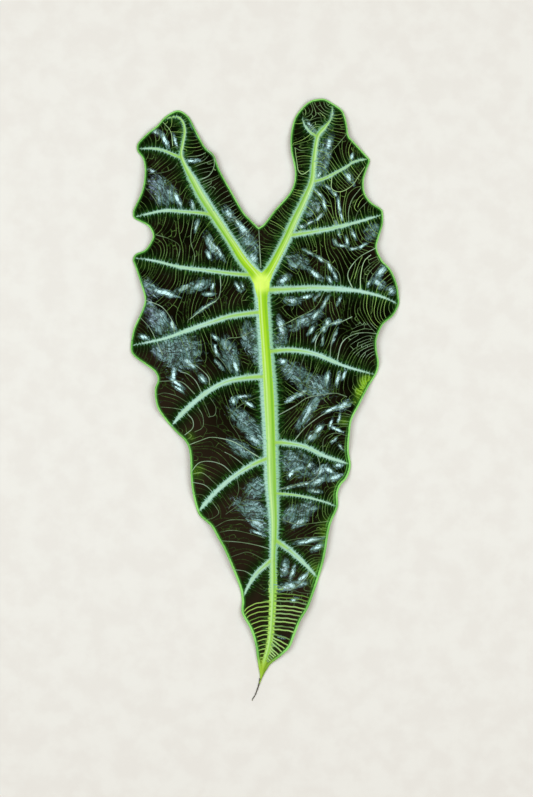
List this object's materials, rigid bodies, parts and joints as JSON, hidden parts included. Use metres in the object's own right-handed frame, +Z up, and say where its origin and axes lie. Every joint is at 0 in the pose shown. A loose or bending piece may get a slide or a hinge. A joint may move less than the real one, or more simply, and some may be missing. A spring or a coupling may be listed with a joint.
{
  "type": "alocasia leaf",
  "caption": "Cut arrow-shaped leaf of a dark alocasia, lying top side up, with pale raised ribs, a waved edge, pointed back lobes and a dry thread at the tip.",
  "frame": {"origin": "middle of the leaf's outline, on the surface it lies on", "axes": "+Z up from the surface, +Y from the tip towards the back lobes, +X to the leaf's right side as seen from above with the back lobes up"},
  "size_m": [0.1342, 0.301, 0.008],
  "materials": {
    "dark_glossy_blade": null
  },
  "bodies": {
    "root": {"alocasia_leaf": "dark_glossy_blade"}
  },
  "joints": []
}
